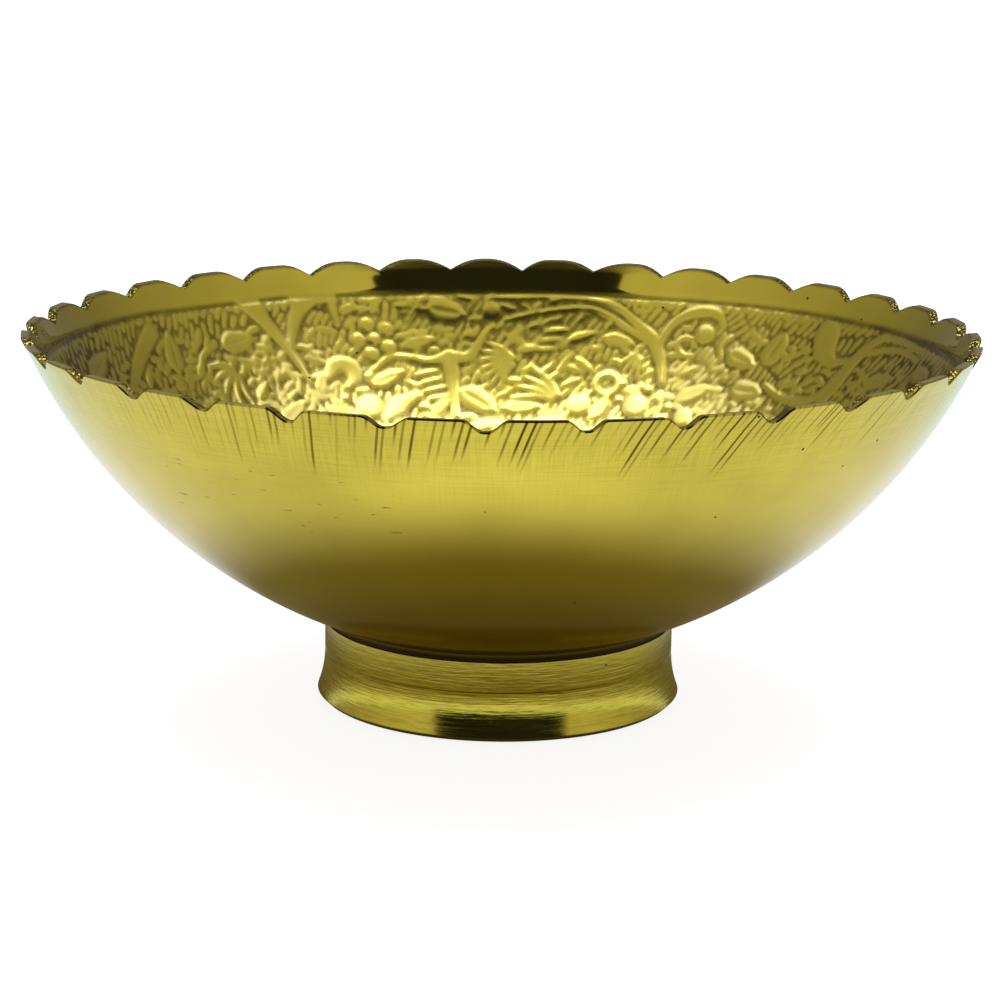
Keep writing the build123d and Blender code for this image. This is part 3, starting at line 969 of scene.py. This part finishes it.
def cast_brass():
    """Cast brass: filed and buffed outside, with a brown patina left in the relief's ground inside, and
    painted shade on the rim, at the two sides inside and just above the foot.
    """
    nodes = Nodes("cast_brass")
    place, azimuth, height = nodes.place()
    inside = nodes.attribute("inside")
    outside = nodes.math("SUBTRACT", 1.0, inside)
    near_rim = nodes.range(height, RIM_HEIGHT - 18, RIM_HEIGHT - 6)
    weave = linen(nodes, azimuth, height)
    level_marks = scratches(nodes, azimuth, height)
    marks = nodes.math("MAXIMUM", file_marks(nodes, azimuth, height), level_marks)
    marks = nodes.times(marks, outside)
    specks = pits(nodes, place)
    dark, edge_dirt_and_shade = recess_patina_and_rim_shade(nodes, place)
    # Painted shade on the outside just above the seat on the foot.
    low = nodes.range(height, SEAT_Z + 0.8, SEAT_Z + 2.6, 0.95, 0.0)
    seat_shade = nodes.times(low, outside)

    cloud = tarnish_and_side_shade(nodes, place, azimuth, inside)
    # Patina in the relief, tarnish clouds, and painted shade on the rim and at the two sides inside.
    tarnish_and_shade = nodes.math("MULTIPLY_ADD", dark, 0.88, cloud, clamp=True)
    colour = nodes.mix(tarnish_and_shade, BRASS, PATINA_AND_SHADE)
    # Dry crust of dirt and painted shade on the rim.
    colour = nodes.mix(edge_dirt_and_shade, colour, EDGE_DIRT_AND_SHADE)
    colour = nodes.mix(marks, colour, MARK)
    colour = nodes.mix(seat_shade, colour, PATINA_AND_SHADE)
    outside_rim = nodes.times(outside, near_rim)
    lines = nodes.times(outside_rim, nodes.range(weave, 0.35, 0.6, 0.16, 0.0))
    colour = nodes.mix(lines, colour, PATINA_AND_SHADE)
    nodes.surface("Base Color", nodes.mix(specks, colour, SOOT))

    satin = nodes.range(inside, 0.0, 1.0, 0.16, 0.2)
    worn = nodes.math("MULTIPLY_ADD", dark, 0.15, satin)
    worn = nodes.math("MULTIPLY_ADD", edge_dirt_and_shade, 0.3, worn)
    worn = nodes.math("MULTIPLY_ADD", seat_shade, 0.35, worn)
    lip = nodes.attribute("lip")
    nodes.surface("Roughness", nodes.range(lip, 0.0, 1.0, worn, 0.06))
    nodes.surface("Metallic", nodes.math("SUBTRACT", 1.0, edge_dirt_and_shade))
    nodes.surface("Specular IOR Level", 0)
    nodes.surface("Coat Weight", nodes.times(inside, 0.12))
    nodes.surface("Coat Roughness", 0.12)
    nodes.surface("Coat IOR", 1.45)

    grain = nodes.times(weave, nodes.math("MULTIPLY_ADD", near_rim, 0.5, 0.25))
    grain = nodes.times(grain, outside)
    hollows = nodes.times(nodes.math("ADD", marks, specks), 0.6)
    nodes.bump(nodes.math("SUBTRACT", grain, hollows), 0.35, 0.00006)
    return nodes.material


def turned_brass():
    """Brass turned in a lathe: fine lines round the foot, and painted shade at its base, crease and top."""
    nodes = Nodes("turned_brass")
    place, azimuth, height = nodes.place()
    run = nodes.times(azimuth, FOOT_TOP_RADIUS)
    lines = brushed(nodes, run, height, 0.09, 3.4, 0.0, 3.0)
    coarse = brushed(nodes, run, height, 0.35, 2.0, 3.0)
    # Painted shade at the foot's base, where it meets the floor.
    low = nodes.range(height, 0.5, 0.9, 0.8, 0.0)
    both = nodes.math("MULTIPLY_ADD", coarse, 0.5, nodes.times(lines, 0.5))
    streak = nodes.range(both, 0.36, 0.56, 0.26, 0.0)
    colour = nodes.mix(streak, BRASS, PATINA_AND_SHADE)
    # Painted shade on the foot's top under the bowl, and in its crease.
    high = nodes.range(height, CREASE_Z, FOOT_TOP_Z - 1.5, 0.0, 0.3)
    crease_shade = nodes.range(nodes.gap(height, CREASE_Z), 0.15, 0.4, 0.45, 0.0)
    high = nodes.math("MAXIMUM", high, crease_shade)
    colour = nodes.mix(nodes.math("MAXIMUM", low, high), colour, PATINA_AND_SHADE)
    nodes.surface("Base Color", nodes.mix(pits(nodes, place), colour, SOOT))
    nodes.surface("Roughness", nodes.range(lines, 0.35, 0.65, 0.1, 0.2))
    nodes.surface("Anisotropic", 0.6)
    tangent = nodes.node("ShaderNodeTangent", direction_type="RADIAL", axis="Z")
    nodes.surface("Tangent", tangent.outputs[0])
    nodes.surface("Metallic", 1)
    nodes.bump(nodes.math("ADD", lines, coarse), 0.25, 0.00005)
    return nodes.material


def solder():
    """Old dark solder down in the seam."""
    nodes = Nodes("solder")
    nodes.surface("Base Color", SOOT)
    nodes.surface("Metallic", 0.6)
    nodes.surface("Roughness", 0.6)
    return nodes.material


# -------- stage, lights and camera

def plane(name, width, depth, place, tilt_x=0):
    """A rectangle centred at a place and tilted about X."""
    mesh = bpy.data.meshes.new(name)
    w, d = width / 2, depth / 2
    mesh.from_pydata([(-w, -d, 0), (w, -d, 0), (w, d, 0), (-w, d, 0)], [], [(0, 1, 2, 3)])
    made = bpy.data.objects.new(name, mesh)
    made.matrix_world = Matrix.Translation(place) @ Matrix.Rotation(math.radians(tilt_x), 4, "X")
    bpy.context.scene.collection.objects.link(made)
    return made


def plain_material(name, shade, glow=0.0):
    """A matt neutral material, which may glow."""
    nodes = Nodes(name)
    nodes.surface("Base Color", (shade, shade, shade, 1))
    nodes.surface("Roughness", 1)
    nodes.surface("Specular IOR Level", 0)
    nodes.surface("Emission Color", (1, 1, 1, 1))
    nodes.surface("Emission Strength", glow)
    return nodes.material


def painted_floor_glow_material():
    """A glowing floor as the brass sees it: white round the bowl, dim and warm in a painted shadow under it,
    with a painted brighter band in front.
    """
    nodes = Nodes("painted_floor_glow")
    place = nodes.place()[0]
    oval = nodes.node("ShaderNodeVectorMath", operation="MULTIPLY")
    nodes.put(oval.inputs[0], place)
    nodes.put(oval.inputs[1], (1.18, 1.0, 1.0))
    length = nodes.node("ShaderNodeVectorMath", operation="LENGTH")
    nodes.put(length.inputs[0], oval.outputs[0])
    radius = length.outputs["Value"]
    # Painted shadow under the bowl, dim and warm.
    under = nodes.mix(nodes.range(radius, 32.0, 54.0), DEEP_SHADOW, SHADOW)
    near = nodes.mix(nodes.range(radius, 54.0, 90.0), under, NEAR_FLOOR)
    colour = nodes.mix(nodes.range(radius, 100.0, 260.0), near, FAR_FLOOR)
    nodes.surface("Base Color", (0, 0, 0, 1))
    nodes.surface("Specular IOR Level", 0)
    nodes.surface("Emission Color", colour)
    parts = nodes.node("ShaderNodeSeparateXYZ")
    nodes.put(parts.inputs[0], place)
    ahead = nodes.math("DIVIDE", nodes.times(parts.outputs[1], -1.0), radius)
    # Painted light: a brighter band of floor in front of the bowl.
    band = nodes.times(nodes.range(radius, 62.0, 80.0), nodes.range(radius, 88.0, 112.0, 1.0, 0.0))
    lift = nodes.times(nodes.range(ahead, 0.72, 1.0, -0.12, 0.16), band)
    nodes.surface("Emission Strength", nodes.math("ADD", lift, 1.0))
    return nodes.material


def make_stage():
    """A lit white floor, a glowing copy of the floor with a painted shadow that only reflections see, and a
    light tent's dark open front.
    """
    floor = plane("floor", 12, 12, (0, 0, -0.0002))
    floor.data.materials.append(plain_material("white_floor", 0.35, 0.88))
    floor.visible_glossy = False
    floor.visible_diffuse = False
    painted_floor = plane("painted_floor_glow", 12, 12, (0, 0, -0.0004))
    painted_floor.data.materials.append(painted_floor_glow_material())
    painted_floor.visible_camera = False
    front = plane("dark_front", 0.87, 0.785, (0.03, -0.5, 0.3975), 90)
    front.data.materials.append(plain_material("dark_cloth", 0.017))
    front.visible_camera = False


def area_light(name, width, depth, place, radiance, colour):
    """A soft rectangular light facing down, with the brightness and colour of its own surface."""
    data = bpy.data.lights.new(name, "AREA")
    data.shape = "RECTANGLE"
    data.size = width
    data.size_y = depth
    data.energy = radiance * math.pi * width * depth
    data.color = colour
    light = bpy.data.objects.new(name, data)
    light.matrix_world = Matrix.Translation(place)
    light.visible_camera = False
    bpy.context.scene.collection.objects.link(light)
    return light


def make_lights():
    """The white of a light tent, brighter towards its open front, with two soft lights overhead."""
    world = bpy.data.worlds.new("surround")
    bpy.context.scene.world = world
    world.use_nodes = True
    tree = world.node_tree
    background = tree.nodes["Background"]
    background.inputs["Color"].default_value = (1, 0.96, 0.86, 1)
    direction = tree.nodes.new("ShaderNodeTexCoord")
    parts = tree.nodes.new("ShaderNodeSeparateXYZ")
    fade = tree.nodes.new("ShaderNodeMapRange")
    tree.links.new(direction.outputs["Generated"], parts.inputs[0])
    tree.links.new(parts.outputs["Y"], fade.inputs["Value"])
    for key, value in (("From Min", -0.7), ("From Max", 0.6), ("To Min", 0.72), ("To Max", 0.3)):
        fade.inputs[key].default_value = value
    tree.links.new(fade.outputs[0], background.inputs["Strength"])
    area_light("softbox", 0.84, 0.76, (0, 0.23, 0.9), 8.5, (0.55, 0.58, 1.0))
    area_light("wings", 1.5, 0.6, (0, 0.2, 0.92), 3.0, (0.36, 0.37, 1.0))


def make_camera():
    """The camera, with the frame's centre on the middle of the bowl."""
    data = bpy.data.cameras.new("camera")
    data.sensor_width = 36
    data.lens = CAMERA_LENS
    camera = bpy.data.objects.new("camera", data)
    pitch = Matrix.Rotation(math.radians(90 - CAMERA_TILT_DEG), 4, "X")
    roll = Matrix.Rotation(math.radians(CAMERA_ROLL_DEG), 4, "Z")
    camera.matrix_world = Matrix.Translation(CAMERA_PLACE) @ pitch @ roll
    bpy.context.scene.collection.objects.link(camera)
    bpy.context.scene.camera = camera


make_camera()
make_stage()
make_lights()
bowl = make_bowl()
bowl.data.materials.append(cast_brass())
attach(bowl, "root")
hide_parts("bowl")
for node, made in (("foot_ring", turned_brass()), ("solder_joint", solder())):
    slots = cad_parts[node].data.materials
    slots.clear()
    slots.append(made)
bpy.context.scene.view_settings.view_transform = "Standard"
